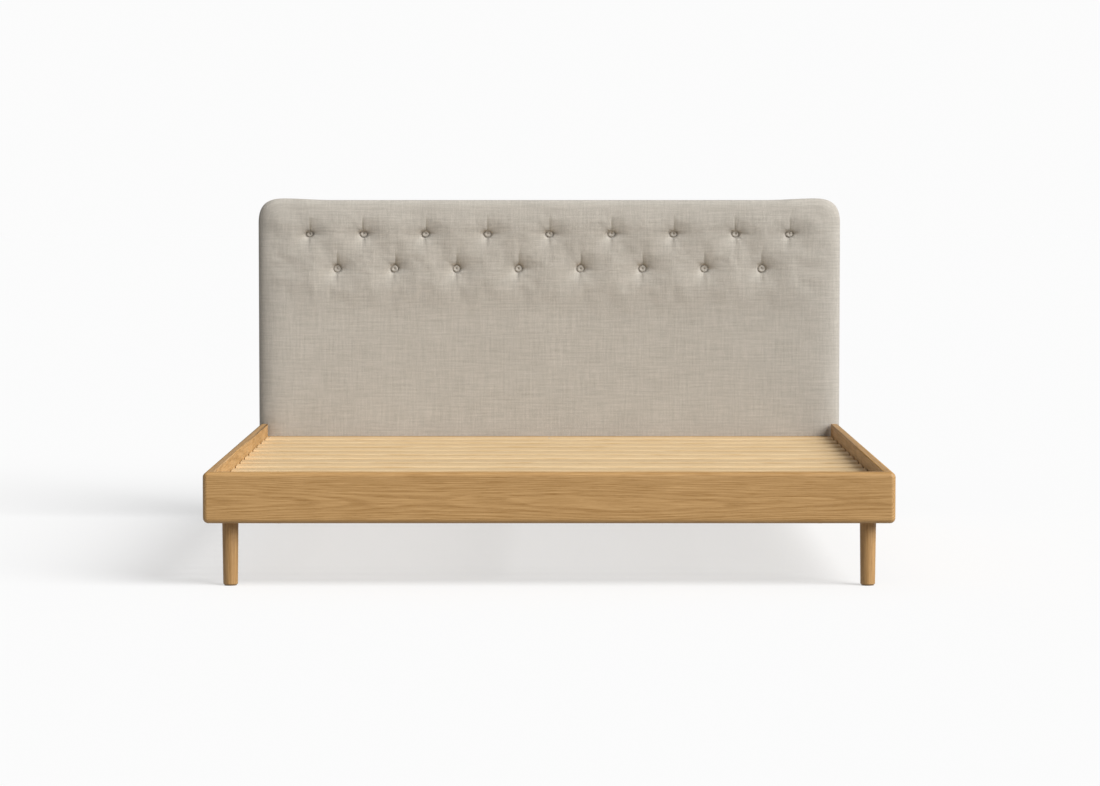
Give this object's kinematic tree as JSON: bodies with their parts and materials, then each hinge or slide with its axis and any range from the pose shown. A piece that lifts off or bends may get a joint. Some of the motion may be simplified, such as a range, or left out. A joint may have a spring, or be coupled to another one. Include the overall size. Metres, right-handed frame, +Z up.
{
  "type": "bed frame",
  "caption": "King-size low bed frame with rounded oak rails, short round legs, a slatted base on a steel midbeam, and a button-tufted fabric headboard.",
  "frame": {"origin": "on the floor, at the middle of the footprint", "axes": "+Z up, +Y from the foot end to the headboard, +X to the right seen from the foot end"},
  "size_m": [2.03, 2.162, 1.126],
  "materials": {
    "oak": "satin",
    "pine": "matte",
    "plywood": "matte",
    "linen": "matte",
    "lining": "matte",
    "felt": "matte",
    "webbing": "matte",
    "zinc_steel": "satin",
    "painted_steel": "satin"
  },
  "bodies": {
    "root": {"front_rail": "oak", "side_rail_left": "oak", "side_rail_right": "oak", "head_rail": "oak", "leg_front_left": "oak", "corner_block_front_left": "pine", "corner_plate_front_left": "zinc_steel", "felt_pad_front_left": "felt", "leg_front_right": "oak", "corner_block_front_right": "pine", "corner_plate_front_right": "zinc_steel", "felt_pad_front_right": "felt", "leg_rear_left": "oak", "corner_block_rear_left": "pine", "corner_plate_rear_left": "zinc_steel", "felt_pad_rear_left": "felt", "leg_rear_right": "oak", "corner_block_rear_right": "pine", "corner_plate_rear_right": "zinc_steel", "felt_pad_rear_right": "felt", "slat_ledge_left": "pine", "slat_ledge_right": "pine", "midbeam": "painted_steel", "midbeam_hanger_front": "zinc_steel", "midbeam_hanger_rear": "zinc_steel", "slat_01": "pine", "slat_02": "pine", "slat_03": "pine", "slat_04": "pine", "slat_05": "pine", "slat_06": "pine", "slat_07": "pine", "slat_08": "pine", "slat_09": "pine", "slat_10": "pine", "slat_11": "pine", "slat_12": "pine", "headboard_pad": "linen", "headboard_core": "plywood", "headboard_ring": "plywood", "headboard_stile_left": "pine", "headboard_stile_right": "pine", "headboard_back_cloth": "lining", "button_top_1": "linen", "button_top_2": "linen", "button_top_3": "linen", "button_top_4": "linen", "button_top_5": "linen", "button_top_6": "linen", "button_top_7": "linen", "button_top_8": "linen", "button_top_9": "linen", "button_low_1": "linen", "button_low_2": "linen", "button_low_3": "linen", "button_low_4": "linen", "button_low_5": "linen", "button_low_6": "linen", "button_low_7": "linen", "button_low_8": "linen"}
  },
  "joints": []
}
